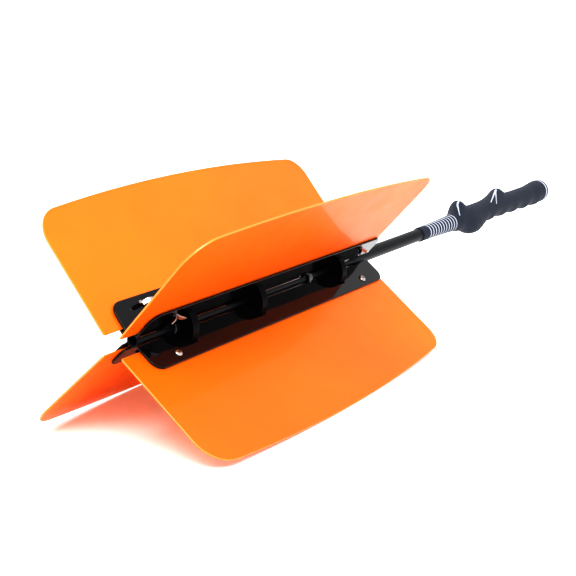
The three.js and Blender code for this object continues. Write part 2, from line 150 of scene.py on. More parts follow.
GRIP_LEAN, GRIP_LEAN_START, GRIP_LEAN_FADE = 14.0, 509.0, 16.0  # how the ridges sweep back down the flanks
GRIP_RIDGE_POWER = 4
GRIP_AROUND = 144
GRIP_STEP = 0.9
GRIP_BORE_GAP = 0.12
GRIP_MOUTH = ((0.0, 1.2), (0.15, 0.5), (0.6, 0.1), (1.3, 0.0))  # distance from the mouth, and drop
GRIP_MOUTH_FLAT, GRIP_MOUTH_STEP = 3.0, 2.0
GRIP_HEEL = ((0.4, 0.0), (0.1, 0.08), (0.0, 0.35))  # distance from the butt end, and drop
FLANK_LIMIT = 150.0  # degrees from the top of the grip, where the search for a mark's point stops

RING_COUNT = 11
RING_FIRST = 447.5
RING_PITCH = 5.4
RING_WIDTH = 1.45
RING_PROUD = 0.15
RING_DEPTH = 0.55
RING_EDGE = 0.03
GROOVE_GAP = 0.12
GROOVE_LIP = ((0.35, 0.0), (0.08, 0.06), (0.0, 0.2), (-0.02, RING_DEPTH))  # distance from the wall, and drop

MARK_WIDTH = 1.0
MARK_STEP = 0.6
MARK_CAP = (0.05, 0.5, 0.9, 1.25)  # radians round the rounded end of a stroke
MARK_SECTION = (
    (-1.0, -0.5), (-1.0, -0.02), (-0.92, 0.07), (-0.7, 0.11), (0.0, 0.13),
    (0.7, 0.11), (0.92, 0.07), (1.0, -0.02), (1.0, -0.5),
)  # share of the half width, and height over the rubber
# Strokes as (x along the shaft, height over the axis) on the flank that the photo shows.
MARKS = {
    "Grip_Mark_Fore": (((528, 17.2), (525.1, 16.2), (520.9, 13.7), (517.8, 10.6), (515, 7.4), (512.3, 4.1)),),
    "Grip_Mark_Rear": (
        ((588.8, 5.7), (621.8, 16.2)),
        ((621.8, 16.2), (616.2, 14), (610.3, 10.9), (603.8, 6.9), (597.6, 2.4)),
    ),
}

CAP_RING_WIDTH = 2.4
CAP_RING_OVERLAP = 0.25  # how far the ring closes the gaps on either side of it
CAP_LENGTH = 7.6
CAP_RADIUS = 12.3
CAP_EDGE = 2.6
CAP_PLUG_RADIUS = 5.6
CAP_PLUG_START = 724.0
CAP_VENT = 1.5

ROUND = 96  # sides of the large round pieces
WELD = 1e-4

FLOOR_HALF_SIZE = 12.0  # metres
FLOOR_DROP = 0.0002  # metres below the CAD box
WORLD_STRENGTH = 1.08
# name, place and aim in metres, size in metres, power in watts
LIGHTS = (
    ("Key", (-1.3, -0.9, 1.7), (0.0, 0.0, 0.0), (1.6, 1.0), 60.0),
    ("Back", (0.2, 1.7, 1.7), (-0.2, 0.0, 0.05), (1.8, 1.2), 26.0),
)
# The camera of the photo, solved from the outlines of the blades.
CAMERA_PLACE = (-551.9, -485.51, 202.48)
CAMERA_RIGHT = Vector((0.53381, -0.84526, -0.02421))
CAMERA_DOWN = Vector((-0.20124, -0.09918, -0.97451))
CAMERA_AHEAD = Vector((0.82131, 0.52507, -0.22304))
CAMERA_LENS = 75.0
CAMERA_SENSOR = 36.0

ROOT = "shaft_and_grip"

shaft_low, shaft_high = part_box("Shaft")
ORIGIN = Vector((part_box("Leaf_B_Blade")[0][0], 0.0, (shaft_low[2] + shaft_high[2]) / 2))
TO_FRAME = Matrix.Translation(ORIGIN) @ Matrix.Scale(MM, 4)


# ---------- mesh helpers ----------
def frame_mesh(name, bm, place):
    """Welds a bmesh, turns its faces outwards, moves it and makes it a mesh."""
    bmesh.ops.remove_doubles(bm, verts=bm.verts, dist=WELD)
    bmesh.ops.recalc_face_normals(bm, faces=bm.faces)
    bm.transform(place)
    mesh = bpy.data.meshes.new(name)
    bm.to_mesh(mesh)
    bm.free()
    return mesh


def finish_piece(name, bm, materials, body, nodes, turn=0.0, sharp=32.0, weighted=False):
    """Turns a bmesh in millimetres into a piece that rides a body and stands for its CAD nodes."""
    mesh = frame_mesh(name, bm, TO_FRAME @ Matrix.Rotation(math.radians(turn), 4, "X"))
    for material in materials:
        mesh.materials.append(material)
    mesh.shade_smooth()
    mesh.set_sharp_from_angle(angle=math.radians(sharp))
    piece = bpy.data.objects.new(name, mesh)
    bpy.context.scene.collection.objects.link(piece)
    if weighted:
        normals = piece.modifiers.new("Weighted normals", "WEIGHTED_NORMAL")
        normals.keep_sharp = True
    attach(piece, body)
    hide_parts(*nodes)
    return piece


def rounded(points, radius, steps=4):
    """Closed 2D loop with its corners filleted. A point may carry its own radius as a third value."""
    out = []
    count = len(points)
    for i in range(count):
        here = Vector(points[i][:2])
        own = points[i][2] if len(points[i]) > 2 else radius
        back = Vector(points[i - 1][:2]) - here
        ahead = Vector(points[(i + 1) % count][:2]) - here
        corner = back.angle(ahead)
        if own <= 0 or corner > math.radians(176):
            out.append(here)
            continue
        reach = min(own / math.tan(corner / 2), back.length * 0.48, ahead.length * 0.48)
        fillet = reach * math.tan(corner / 2)
        back.normalize()
        ahead.normalize()
        centre = here + (back + ahead).normalized() * (fillet / math.sin(corner / 2))
        start = here + back * reach - centre
        end = here + ahead * reach - centre
        sweep = start.angle(end)
        for k in range(steps + 1):
            t = k / steps
            along = start * math.sin((1 - t) * sweep) + end * math.sin(t * sweep)
            out.append(centre + along / math.sin(sweep))
    return out


def skin_rings(bm, rings, closed=True):
    """Quads between consecutive rings of vertices; closed joins the last ring to the first."""
    count = len(rings)
    for i in range(count if closed else count - 1):
        first, second = rings[i], rings[(i + 1) % count]
        for j in range(len(first)):
            k = (j + 1) % len(first)
            bm.faces.new((first[j], first[k], second[k], second[j]))


def add_lathe(bm, profile, segments=ROUND, matrix=None):
    """Solid of revolution about X from a closed loop of (x, radius)."""
    rings = []
    for x, radius in profile:
        ring = []
        for j in range(segments):
            angle = 2 * math.pi * j / segments
            point = Vector((x, radius * math.cos(angle), radius * math.sin(angle)))
            ring.append(bm.verts.new(matrix @ point if matrix else point))
        rings.append(ring)
    skin_rings(bm, rings)


def add_tube(bm, x0, x1, outer, inner, fillet):
    add_lathe(bm, rounded(((x0, inner), (x0, outer), (x1, outer), (x1, inner)), fillet))


def arc(cx, cy, radius, start, end, count):
    angles = [start + (end - start) * i / count for i in range(count + 1)]
    return [(cx + radius * math.cos(angle), cy + radius * math.sin(angle)) for angle in angles]


def area(loop):
    return sum(loop[i - 1][0] * loop[i][1] - loop[i][0] * loop[i - 1][1] for i in range(len(loop))) / 2


def inset(loop, distance):
    """Moves every corner of a counter-clockwise loop inwards (clockwise loops move outwards)."""
    out = []
    count = len(loop)
    for i in range(count):
        here = Vector(loop[i])
        before = (here - Vector(loop[i - 1])).normalized()
        after = (Vector(loop[(i + 1) % count]) - here).normalized()
        n1 = Vector((-before.y, before.x))
        n2 = Vector((-after.y, after.x))
        out.append(here + (n1 + n2) * (distance / (1 + n1.dot(n2))))
    return out


def add_sheet(bm, outline, holes, low, high, fillet, steps=3, face_material=0, edge_material=0):
    """Flat sheet between two heights with rounded edges all round, its holes included."""
    loops = [outline if area(outline) > 0 else outline[::-1]]
    loops += [hole if area(hole) < 0 else hole[::-1] for hole in holes]
    levels = []
    for k in range(steps + 1):
        angle = (math.pi / 2) * k / steps
        levels.append((fillet * (1 - math.cos(angle)), fillet * (1 - math.sin(angle))))
    profile = [(inward, low + rise) for inward, rise in reversed(levels)]
    profile += [(inward, high - rise) for inward, rise in levels]
    ends = {0: [], len(profile) - 1: []}
    for loop in loops:
        rings = []
        for level, (inward, height) in enumerate(profile):
            ring = [bm.verts.new((p.x, p.y, height)) for p in inset(loop, inward)]
            rings.append(ring)
            if level in ends:
                ends[level].append(ring)
        before = set(bm.faces)
        skin_rings(bm, rings, closed=False)
        for face in set(bm.faces) - before:
            face.material_index = edge_material
    for rings in ends.values():
        flat = [v for ring in rings for v in ring]
        for triangle in tessellate_polygon([[v.co for v in ring] for ring in rings]):
            try:
                face = bm.faces.new([flat[i] for i in triangle])
                face.material_index = face_material
            except ValueError:
                pass


# ---------- leaf outlines ----------
def knuckle_slot(station, index):
    start = station - KNUCKLE_PITCH * 1.5 - KNUCKLE_WIDTH / 2 + index * KNUCKLE_PITCH
    return start, start + KNUCKLE_WIDTH


def inner_edge(own, base):
    """Notched inner edge of a sheet as (x, radius) from the near end to the far end.

    own is the place in the knuckle stacks of the sheet's own leaf, or None for a sheet without knuckles.
    """
    clear = KNUCKLE_RADIUS + NOTCH_GAP
    collar = COLLAR_RADIUS + NOTCH_GAP
    steps = []
    for station in KNUCKLE_STATIONS:
        first = knuckle_slot(station, 0)[0] - NOTCH_GAP
        last = knuckle_slot(station, LAST_LEAF)[1] + NOTCH_GAP
        if own is None:
            steps.append((first, last, clear))
            continue
        start, end = knuckle_slot(station, own)
        steps.append((first, start, clear))
        steps.append((start, end, KNUCKLE_RADIUS - KNUCKLE_ROOT))
        steps.append((end, last, clear))
    near = knuckle_slot(KNUCKLE_STATIONS[0], 0)[0] - NOTCH_GAP
    far = knuckle_slot(KNUCKLE_STATIONS[-1], LAST_LEAF)[1] + NOTCH_GAP
    steps.append((near - COLLAR_WIDTH - COLLAR_NOTCH_PAST, near, collar))
    steps.append((far, far + COLLAR_WIDTH + COLLAR_NOTCH_PAST, collar))
    half = LOCK_COLLAR_WIDTH / 2 + 1
    steps.append((LOCK_COLLAR_X - half, LOCK_COLLAR_X + half, collar))
    steps.sort()
    points = []
    end_before = None
    for start, end, depth in steps:
        if end_before is None or start > end_before + 0.05:
            if end_before is not None:
                points.append((end_before, base))
            points.append((start, base))
        points.append((start, depth))
        points.append((end, depth))
        end_before = end
    points.append((end_before, base))
    return points


def blade_outline():
    half = BLADE_LENGTH / 2
    big = (half * half + BLADE_BULGE * BLADE_BULGE) / (2 * BLADE_BULGE)
    centre = BLADE_CORNER + BLADE_BULGE - big

    def corner(radius, side):
        x = half + side * (half - radius)
        y = centre + math.sqrt((big - radius) ** 2 - (x - half) ** 2)
        return x, y, math.atan2(y - centre, x - half)

    fx, fy, fa = corner(BLADE_FAR_CORNER, 1)
    nx, ny, na = corner(BLADE_NEAR_CORNER, -1)
    points = [(0.0, BLADE_INNER, BLADE_END_FILLET)]
    points += [(x, r, BLADE_NOTCH_FILLET) for x, r in inner_edge(None, BLADE_INNER)]
    points.append((BLADE_LENGTH, BLADE_INNER, BLADE_END_FILLET))
    points += [(x, y, 0.0) for x, y in arc(fx, fy, BLADE_FAR_CORNER, 0.0, fa, 20)]
    points += [(x, y, 0.0) for x, y in arc(half, centre, big, fa, na, 72)[1:-1]]
    points += [(x, y, 0.0) for x, y in arc(nx, ny, BLADE_NEAR_CORNER, na, math.pi, 24)]
    return rounded(points, 0.0)


def plate_outline(own):
    c = PLATE_CORNER
    points = [(PLATE_START, PLATE_INNER, PLATE_END_FILLET)]
    points += [(x, r, NOTCH_FILLET) for x, r in inner_edge(own, PLATE_INNER)]
    points.append((PLATE_END, PLATE_INNER, PLATE_END_FILLET))
    points += [(x, y, 0.0) for x, y in arc(PLATE_END - c, PLATE_OUTER - c, c, 0.0, math.pi / 2, 14)]
    points += [(x, y, 0.0) for x, y in arc(PLATE_START + c, PLATE_OUTER - c, c, math.pi / 2, math.pi, 14)]
    return rounded(points, 0.0)


def rivet_holes():
    return [
        [Vector(p) for p in arc(x, RIVET_R, RIVET_SHANK + GAP, 0.0, 2 * math.pi, 32)[:-1]]
        for x in RIVET_X
    ]


# ---------- grip surface ----------
def curve(table):
    """Smooth curve through (x, y) points that never overshoots between two of them."""
    def slope(i):
        return (table[i + 1][1] - table[i][1]) / (table[i + 1][0] - table[i][0])

    def tangent(i):
        if i in (0, len(table) - 1):
            return 0.0
        before, after = slope(i - 1), slope(i)
        return 2 * before * after / (before + after) if before * after > 0 else 0.0

    def value(x):
        if x <= table[0][0]:
            return table[0][1]
        if x >= table[-1][0]:
            return table[-1][1]
        i = next(k for k in range(len(table)) if x <= table[k][0]) - 1
        width = table[i + 1][0] - table[i][0]
        t = (x - table[i][0]) / width
        start = table[i][1] * (1 + 2 * t) * (1 - t) ** 2 + tangent(i) * width * t * (1 - t) ** 2
        end = table[i + 1][1] * t * t * (3 - 2 * t) - tangent(i + 1) * width * t * t * (1 - t)
        return start + end

    return value


grip_top, grip_under, grip_side = curve(GRIP_TOP), curve(GRIP_UNDER), curve(GRIP_SIDE)


def grip_radius(x, angle):
    """Radius of the rubber at a place along the shaft, at an angle from the top of the grip."""
    side = grip_side(x)
    fade = min(1.0, max(0.0, (x - GRIP_LEAN_START) / GRIP_LEAN_FADE))
    leaned = x + GRIP_LEAN * fade * math.sin(angle) ** 2
    upper = max(0.0, math.cos(angle)) ** GRIP_RIDGE_POWER
    lower = max(0.0, -math.cos(angle)) ** 2
    ripple = 0.0
    if RIPPLE_FROM < x < RIPPLE_TO:
        fade = min(1.0, (x - RIPPLE_FROM) / RIPPLE_FADE, (RIPPLE_TO - x) / RIPPLE_FADE)
        ripple = fade * RIPPLE_HEIGHT * math.cos(2 * math.pi * (x - RIPPLE_FIRST) / RIPPLE_PITCH)
    ridge = grip_top(leaned) - grip_side(leaned)
    return side + ridge * upper + (grip_under(x) + ripple - side) * lower


def flank_point(x, z, lift):
    """Point of the marked flank at a height over the axis, lifted off the surface by that much."""
    low, high = 0.0, math.radians(FLANK_LIMIT)
    for _ in range(30):
        middle = (low + high) / 2
        if grip_radius(x, middle) * math.cos(middle) > z:
            low = middle
        else:
            high = middle
    radius = grip_radius(x, low) + lift
    return Vector((x, -radius * math.sin(low), radius * math.cos(low)))


# ---------- materials ----------
def principled(name, base, roughness, **sockets):
    material = bpy.data.materials.new(name)
    material.use_nodes = True
    tree = material.node_tree
    shader = tree.nodes["Principled BSDF"]
    shader.inputs["Base Color"].default_value = (*base, 1.0)
    shader.inputs["Roughness"].default_value = roughness
    for socket, value in sockets.items():
        shader.inputs[socket.replace("_", " ")].default_value = value
    return material, tree, shader


def noise(tree, scale, detail=3.0, stretch=(1, 1, 1), rough=0.5):
    coords = tree.nodes.new("ShaderNodeTexCoord")
    mapping = tree.nodes.new("ShaderNodeMapping")
    mapping.inputs["Scale"].default_value = stretch
    texture = tree.nodes.new("ShaderNodeTexNoise")
    texture.inputs["Scale"].default_value = scale
    texture.inputs["Detail"].default_value = detail
    texture.inputs["Roughness"].default_value = rough
    tree.links.new(coords.outputs["Object"], mapping.inputs["Vector"])
    tree.links.new(mapping.outputs["Vector"], texture.inputs["Vector"])
    return texture.outputs["Fac"]


def spread(tree, value, low, high, from_low=0.3, from_high=0.7):
    ranged = tree.nodes.new("ShaderNodeMapRange")
    ranged.inputs["From Min"].default_value = from_low
    ranged.inputs["From Max"].default_value = from_high
    ranged.inputs["To Min"].default_value = low
    ranged.inputs["To Max"].default_value = high
    tree.links.new(value, ranged.inputs["Value"])
    return ranged.outputs["Result"]


def mixed(tree, value, first, second):
    mix = tree.nodes.new("ShaderNodeMix")
    mix.data_type = "RGBA"
    mix.inputs["A"].default_value = (*first, 1.0)
    mix.inputs["B"].default_value = (*second, 1.0)
    tree.links.new(value, mix.inputs["Factor"])
    return mix.outputs["Result"]


def patchy(tree, shader, value, first, second):
    """Lets the base colour drift between two close colours."""
    tree.links.new(mixed(tree, spread(tree, value, 0.0, 1.0), first, second), shader.inputs["Base Color"])


def bump(tree, shader, value, strength, distance, coat=False):
    node = tree.nodes.new("ShaderNodeBump")
    node.inputs["Strength"].default_value = strength
    node.inputs["Distance"].default_value = distance
    tree.links.new(value, node.inputs["Height"])
    tree.links.new(node.outputs["Normal"], shader.inputs["Normal"])
    if coat:
        tree.links.new(node.outputs["Normal"], shader.inputs["Coat Normal"])


def blade_material(name, first, second):
    material, tree, shader = principled(
        name, first, 0.42, Transmission_Weight=0.6, IOR=1.46, Specular_IOR_Level=0.0,
        Coat_Weight=0.16, Coat_Roughness=0.02, Coat_IOR=1.38,
    )
    patchy(tree, shader, noise(tree, 9.0, 2.0), first, second)
    tree.links.new(spread(tree, noise(tree, 60.0, 3.0), 0.37, 0.47), shader.inputs["Roughness"])
    bump(tree, shader, noise(tree, 14.0, 1.0), 0.25, 0.0008, coat=True)
    return material


# Opaque edge material: its fine grain is real sawn texture, its yellower orange is a painted glow of light in
# the sheet's edges.
def blade_edge_glow_material(name, first, second):
    material, tree, shader = principled(
        name, first, 0.4, Coat_Weight=0.15, Coat_Roughness=0.1,
    )
    grain = noise(tree, 900.0, 2.0, stretch=(1, 1, 0.2))
    patchy(tree, shader, grain, first, second)
    bump(tree, shader, grain, 0.15, 0.0001)
    return material


def gloss_material(name, first, second, roughness, specular, coat):
    material, tree, shader = principled(
        name, first, roughness[0], Specular_IOR_Level=specular, Coat_Weight=coat, Coat_Roughness=0.04,
    )
    smears = noise(tree, 35.0, 4.0, stretch=(0.4, 1, 1))
    patchy(tree, shader, smears, first, second)
    tree.links.new(spread(tree, smears, *roughness), shader.inputs["Roughness"])
    bump(tree, shader, noise(tree, 45.0, 2.0), 0.2, 0.0002, coat=True)
    return material


def shaft_material(name, first, second):
    material, tree, shader = principled(name, first, 0.36, Specular_IOR_Level=0.09)
    drawn = noise(tree, 1400.0, 3.0, stretch=(0.02, 1, 1))
    patchy(tree, shader, noise(tree, 40.0, 3.0), first, second)
    tree.links.new(spread(tree, drawn, 0.3, 0.44), shader.inputs["Roughness"])
    bump(tree, shader, drawn, 0.12, 0.00004)
    return material


def steel_material(name, first, second):
    material, tree, shader = principled(name, first, 0.2, Metallic=1.0)
    scuffs = noise(tree, 2600.0, 3.0)
    tree.links.new(spread(tree, scuffs, 0.13, 0.32), shader.inputs["Roughness"])
    patchy(tree, shader, noise(tree, 500.0), first, second)
    bump(tree, shader, scuffs, 0.12, 0.00005)
    return material


def rubber_material(name, first, second, grain_height):
    material, tree, shader = principled(name, first, 0.7, Specular_IOR_Level=0.16, Sheen_Weight=0.03)
    shader.inputs["Sheen Roughness"].default_value = 0.5
    patches = noise(tree, 55.0, 4.0)
    grain = noise(tree, 2400.0, 2.0)
    patchy(tree, shader, patches, first, second)
    tree.links.new(spread(tree, patches, 0.62, 0.78), shader.inputs["Roughness"])
    bump(tree, shader, grain, 0.5, grain_height)
    return material


def paint_material(name, first, second):
    material, tree, shader = principled(name, first, 0.5, Specular_IOR_Level=0.4)
    chalk = noise(tree, 700.0, 4.0)
    patchy(tree, shader, chalk, first, second)
    bump(tree, shader, chalk, 0.25, 0.00006)
    return material


ORANGE = blade_material("Orange_Sheet", (1.0, 0.195, 0.0), (1.0, 0.225, 0.0))
# Sawn edges: real grain, and a yellower orange that paints the glow of light in the lit edges.
ORANGE_EDGE_GLOW = blade_edge_glow_material("Orange_Sheet_Edge_Painted_Glow", (0.72, 0.19, 0.008), (0.66, 0.16, 0.006))
BLACK = (0.002, 0.002, 0.003), (0.004, 0.004, 0.005)
PLATE = gloss_material("Gloss_Black_Plate", *BLACK, (0.04, 0.09), 0.14, 0.14)
KNUCKLE = gloss_material("Worn_Black_Knuckle", *BLACK, (0.1, 0.2), 0.04, 0.04)
COLLAR = gloss_material(
    "Semi_Gloss_Collar", (0.007, 0.007, 0.008), (0.012, 0.012, 0.014), (0.2, 0.32), 0.5, 0.15,
)
SHAFT = shaft_material("Satin_Black_Shaft", (0.003, 0.004, 0.005), (0.006, 0.007, 0.009))
STEEL = steel_material("Nickel_Plate", (0.50, 0.48, 0.47), (0.38, 0.36, 0.35))
GRIP = rubber_material("Navy_Rubber", (0.009, 0.012, 0.022), (0.014, 0.018, 0.031), 0.00012)
CAP = rubber_material("Navy_Rubber_Cap", (0.010, 0.012, 0.021), (0.014, 0.017, 0.028), 0.00008)
PAINT = paint_material("White_Paint_Fill", (0.42, 0.45, 0.52), (0.34, 0.37, 0.44))


# ---------- leaves ----------
def make_blade(leaf, body, turn):
    """Sheet with rounded edges; its outer edges carry their own, opaque material, whose yellower orange is a
    painted glow of light in the edges.
    """
    bm = bmesh.new()
    half = BLADE_THICKNESS / 2
    add_sheet(bm, blade_outline(), rivet_holes(), -half, half, BLADE_FILLET, face_material=0, edge_material=1)
    # The inner edge lies in the dark between the plates, so it keeps the material of the sheet instead of the
    # painted edge glow.
    for face in bm.faces:
        centre = face.calc_center_median()
        from_end = min(centre.x, BLADE_LENGTH - centre.x)
        if centre.y < KNUCKLE_RADIUS + 2 * NOTCH_GAP and from_end > 2 * BLADE_FILLET:
            face.material_index = 0
    name = f"Leaf_{leaf}_Blade"
    finish_piece(name + "_Sheet", bm, (ORANGE, ORANGE_EDGE_GLOW), body, [name], turn, 60.0, True)


def make_plate(leaf, index, body, turn, hinge):
    """One of the two plates that clamp a blade; the hinge plate carries the three knuckles."""
    bm = bmesh.new()
    side = 1 if hinge else -1
    low, high = sorted((side * PLATE_INSIDE, side * PLATE_FACE))
    add_sheet(bm, plate_outline(index if hinge else None), rivet_holes(), low, high, PLATE_FILLET)
    name = f"Leaf_{leaf}_{'Hinge' if hinge else 'Backing'}_Plate"
    if hinge:
        for station in KNUCKLE_STATIONS:
            start, end = knuckle_slot(station, index)
            plate_faces = set(bm.faces)
            add_tube(bm, start, end, KNUCKLE_RADIUS, HUB_SHAFT_RADIUS + RUNNING_GAP, KNUCKLE_FILLET)
            for face in set(bm.faces) - plate_faces:
                face.material_index = 1
    materials = (PLATE, KNUCKLE) if hinge else (PLATE,)
    finish_piece(name + "_Gloss", bm, materials, body, [name], turn, 60.0, True)


def add_leg(bm, x, side, base):
    """One flat leg of a split rivet: it leaves the shank leaning out and curls over towards the plate."""
    root_bend, tip_bend = (math.radians(angle) for angle in RIVET_LEG_SPLAY)
    centre = [Vector((side * RIVET_LEG_THICKNESS * 0.5, 0.0, 0.0))]
    for k in range(RIVET_LEG_STEPS):
        bend = root_bend + (tip_bend - root_bend) * k / (RIVET_LEG_STEPS - 1)
        along = Vector((side * math.sin(bend), 0.0, math.cos(bend)))
        centre.append(centre[-1] + along * RIVET_LEG / RIVET_LEG_STEPS)
    rings = []
    for k, point in enumerate(centre):
        ahead = centre[min(k + 1, RIVET_LEG_STEPS)] - centre[max(k - 1, 0)]
        ahead.normalize()
        across = Vector((ahead.z, 0.0, -ahead.x))
        tip = k / RIVET_LEG_STEPS
        width = RIVET_LEG_WIDTH * (1.0 - 0.45 * max(0.0, tip - 0.6) / 0.4)
        thick = RIVET_LEG_THICKNESS * (1.0 - 0.35 * max(0.0, tip - 0.7) / 0.3)
        a, b = width / 2, thick / 2
        section = rounded(((-a, -b), (a, -b), (a, b), (-a, b)), 0.22, 3)
        rings.append([
            bm.verts.new(point + Vector((x, RIVET_R + p.x, base)) + across * p.y) for p in section
        ])
    skin_rings(bm, rings, closed=False)
    bm.faces.new(rings[0][::-1])
    bm.faces.new(rings[-1])


def make_rivet(leaf, which, x, body, turn):
    """Domed hollow head on the backing plate, shank through the leaf, two legs on the hinge plate."""
    bm = bmesh.new()
    seat = -PLATE_FACE - GAP
    top = PLATE_FACE + GAP
    crown = []
    for k in range(13):
        angle = k / 12 * math.pi / 2
        rise = RIVET_HEAD_HEIGHT * math.cos(angle) ** 0.9
        crown.append((seat - rise, RIVET_HEAD * math.sin(angle)))
    crown = [p for p in crown if p[1] > RIVET_DIMPLE + 0.15]
    floor = seat + RIVET_DIMPLE_DEPTH
    profile = [(floor, 0.0), (floor, RIVET_DIMPLE - 0.25), (floor - 0.15, RIVET_DIMPLE - 0.05)]
    profile += [(crown[0][0], RIVET_DIMPLE), *crown]
    profile += [(seat, RIVET_HEAD - 0.05), (seat, RIVET_SHANK)]
    profile += [(top + 0.15, RIVET_SHANK), (top + 0.35, 0.0)]
    upright = Matrix.Translation((x, RIVET_R, 0.0)) @ Matrix.Rotation(-math.pi / 2, 4, "Y")
    add_lathe(bm, profile, 40, upright)
    for side in (-1, 1):
        add_leg(bm, x, side, top - 0.2)
    name = f"Leaf_{leaf}_Rivet_{which}"
    finish_piece(name + "_Nickel", bm, (STEEL,), body, [name], turn, 40.0, True)


for index, (leaf, turn) in enumerate(LEAF_ANGLE.items()):
    leaf_body = f"leaf_{leaf.lower()}"
    make_blade(leaf, leaf_body, turn)
    make_plate(leaf, index, leaf_body, turn, True)
    make_plate(leaf, index, leaf_body, turn, False)
    for which, rivet_x in zip(("Near", "Far"), RIVET_X):
        make_rivet(leaf, which, rivet_x, leaf_body, turn)


# ---------- shaft, collars and screw ----------
bm = bmesh.new()
add_lathe(bm, rounded((
    (SHAFT_START, SHAFT_BORE, 0.25), (SHAFT_START, HUB_SHAFT_RADIUS, 0.6),
    (SHAFT_TAPER[0], HUB_SHAFT_RADIUS, 30.0), (SHAFT_TAPER[1], SHAFT_RADIUS, 30.0),
    (SHAFT_END, SHAFT_RADIUS, 0.4), (SHAFT_END, SHAFT_BORE, 0.2),
), 0.0, 6))
finish_piece("Shaft_Tube", bm, (SHAFT,), ROOT, ["Shaft"], 0.0, 40.0, True)

stack_start = knuckle_slot(KNUCKLE_STATIONS[0], 0)[0] - GAP
stack_end = knuckle_slot(KNUCKLE_STATIONS[-1], LAST_LEAF)[1] + GAP
for name, start in (("Collar_Near", stack_start - COLLAR_WIDTH), ("Collar_Far", stack_end)):
    bm = bmesh.new()
    add_tube(bm, start, start + COLLAR_WIDTH, COLLAR_RADIUS, HUB_SHAFT_RADIUS + GAP, 0.5)
    finish_piece(name + "_Ring", bm, (COLLAR,), ROOT, [name], 0.0, 60.0, True)


def make_lock_collar():
    """Collar with a flared hole for the set screw."""
    half = LOCK_COLLAR_WIDTH / 2
    bm = bmesh.new()
    add_tube(bm, LOCK_COLLAR_X - half, LOCK_COLLAR_X + half, COLLAR_RADIUS, HUB_SHAFT_RADIUS + GAP, 0.6)
    piece = finish_piece("Collar_Lock_Ring", bm, (COLLAR,), ROOT, ["Collar_Lock"], 0.0, 40.0)
    drill = bmesh.new()
    lean = Matrix.Rotation(math.radians(LOCK_TURN), 4, "X")
    down = Matrix.Translation((LOCK_COLLAR_X, 0.0, 0.0)) @ lean @ Matrix.Rotation(-math.pi / 2, 4, "Z")
    reach = COLLAR_RADIUS + 2
    flare = SCREW_RADIUS + GAP
    add_lathe(drill, (
        (2.0, 0.0), (2.0, flare), (COLLAR_RADIUS - 0.4, flare), (reach, flare + 1.6), (reach, 0.0),
    ), 48, down)
    tool = bpy.data.objects.new("drill", frame_mesh("drill", drill, TO_FRAME))
    bpy.context.scene.collection.objects.link(tool)
    cut = piece.modifiers.new("Hole", "BOOLEAN")
    cut.object = tool
    cut.operation = "DIFFERENCE"
    cut.solver = "EXACT"
    bpy.context.view_layer.update()
    graph = bpy.context.evaluated_depsgraph_get()
    drilled = bpy.data.meshes.new_from_object(piece.evaluated_get(graph))
    piece.modifiers.clear()
    piece.data = drilled
    drilled.set_sharp_from_angle(angle=math.radians(35))
    bpy.data.objects.remove(tool)


def make_lock_screw():
    """Threaded set screw with a hexagon socket, its axis along -Y before it is turned."""
    bm = bmesh.new()
    top = COLLAR_RADIUS - 0.1
    foot = HUB_SHAFT_RADIUS + GAP
    around = 48
    angles = [2 * math.pi * k / around for k in range(around)]
    sixth = math.pi / 3
    socket = [
        SCREW_SOCKET * math.cos(sixth / 2) / math.cos((angle + sixth / 2) % sixth - sixth / 2)
        for angle in angles
    ]
    flat = [1.0] * around
    levels = [
        (foot, 0.0, flat), (foot, SCREW_RADIUS - SCREW_CHAMFER, flat),
        (foot + SCREW_CHAMFER, SCREW_RADIUS, flat),
    ]
    for k in range(int((top - foot - 3 * SCREW_CHAMFER) / SCREW_THREAD_PITCH)):
        depth = foot + SCREW_CHAMFER + 0.05 + k * SCREW_THREAD_PITCH
        levels.append((depth, SCREW_RADIUS - (SCREW_THREAD_DEPTH if k % 2 else 0.0), flat))
    levels += [
        (top - SCREW_CHAMFER, SCREW_RADIUS, flat), (top, SCREW_RADIUS - SCREW_CHAMFER, flat),
        (top, 1.0, [r + 0.12 for r in socket]), (top - 0.12, 1.0, socket),
        (top - SCREW_SOCKET_DEPTH, 1.0, socket), (top - SCREW_SOCKET_DEPTH, 0.0, flat),
    ]
    rings = []
    for depth, scale, shape in levels:
        rings.append([
            bm.verts.new((LOCK_COLLAR_X + scale * r * math.cos(angle), -depth, scale * r * math.sin(angle)))
            for r, angle in zip(shape, angles)
        ])
    skin_rings(bm, rings, closed=False)
    finish_piece("Lock_Screw_Socket", bm, (STEEL,), ROOT, ["Lock_Screw"], LOCK_TURN, 30.0)


make_lock_collar()
make_lock_screw()


# ---------- grip ----------
def grip_ring(bm, x, radius_at):
    ring = []
    for j in range(GRIP_AROUND):
        angle = 2 * math.pi * j / GRIP_AROUND
        radius = radius_at(angle)
        ring.append(bm.verts.new((x, -radius * math.sin(angle), radius * math.cos(angle))))
    return ring


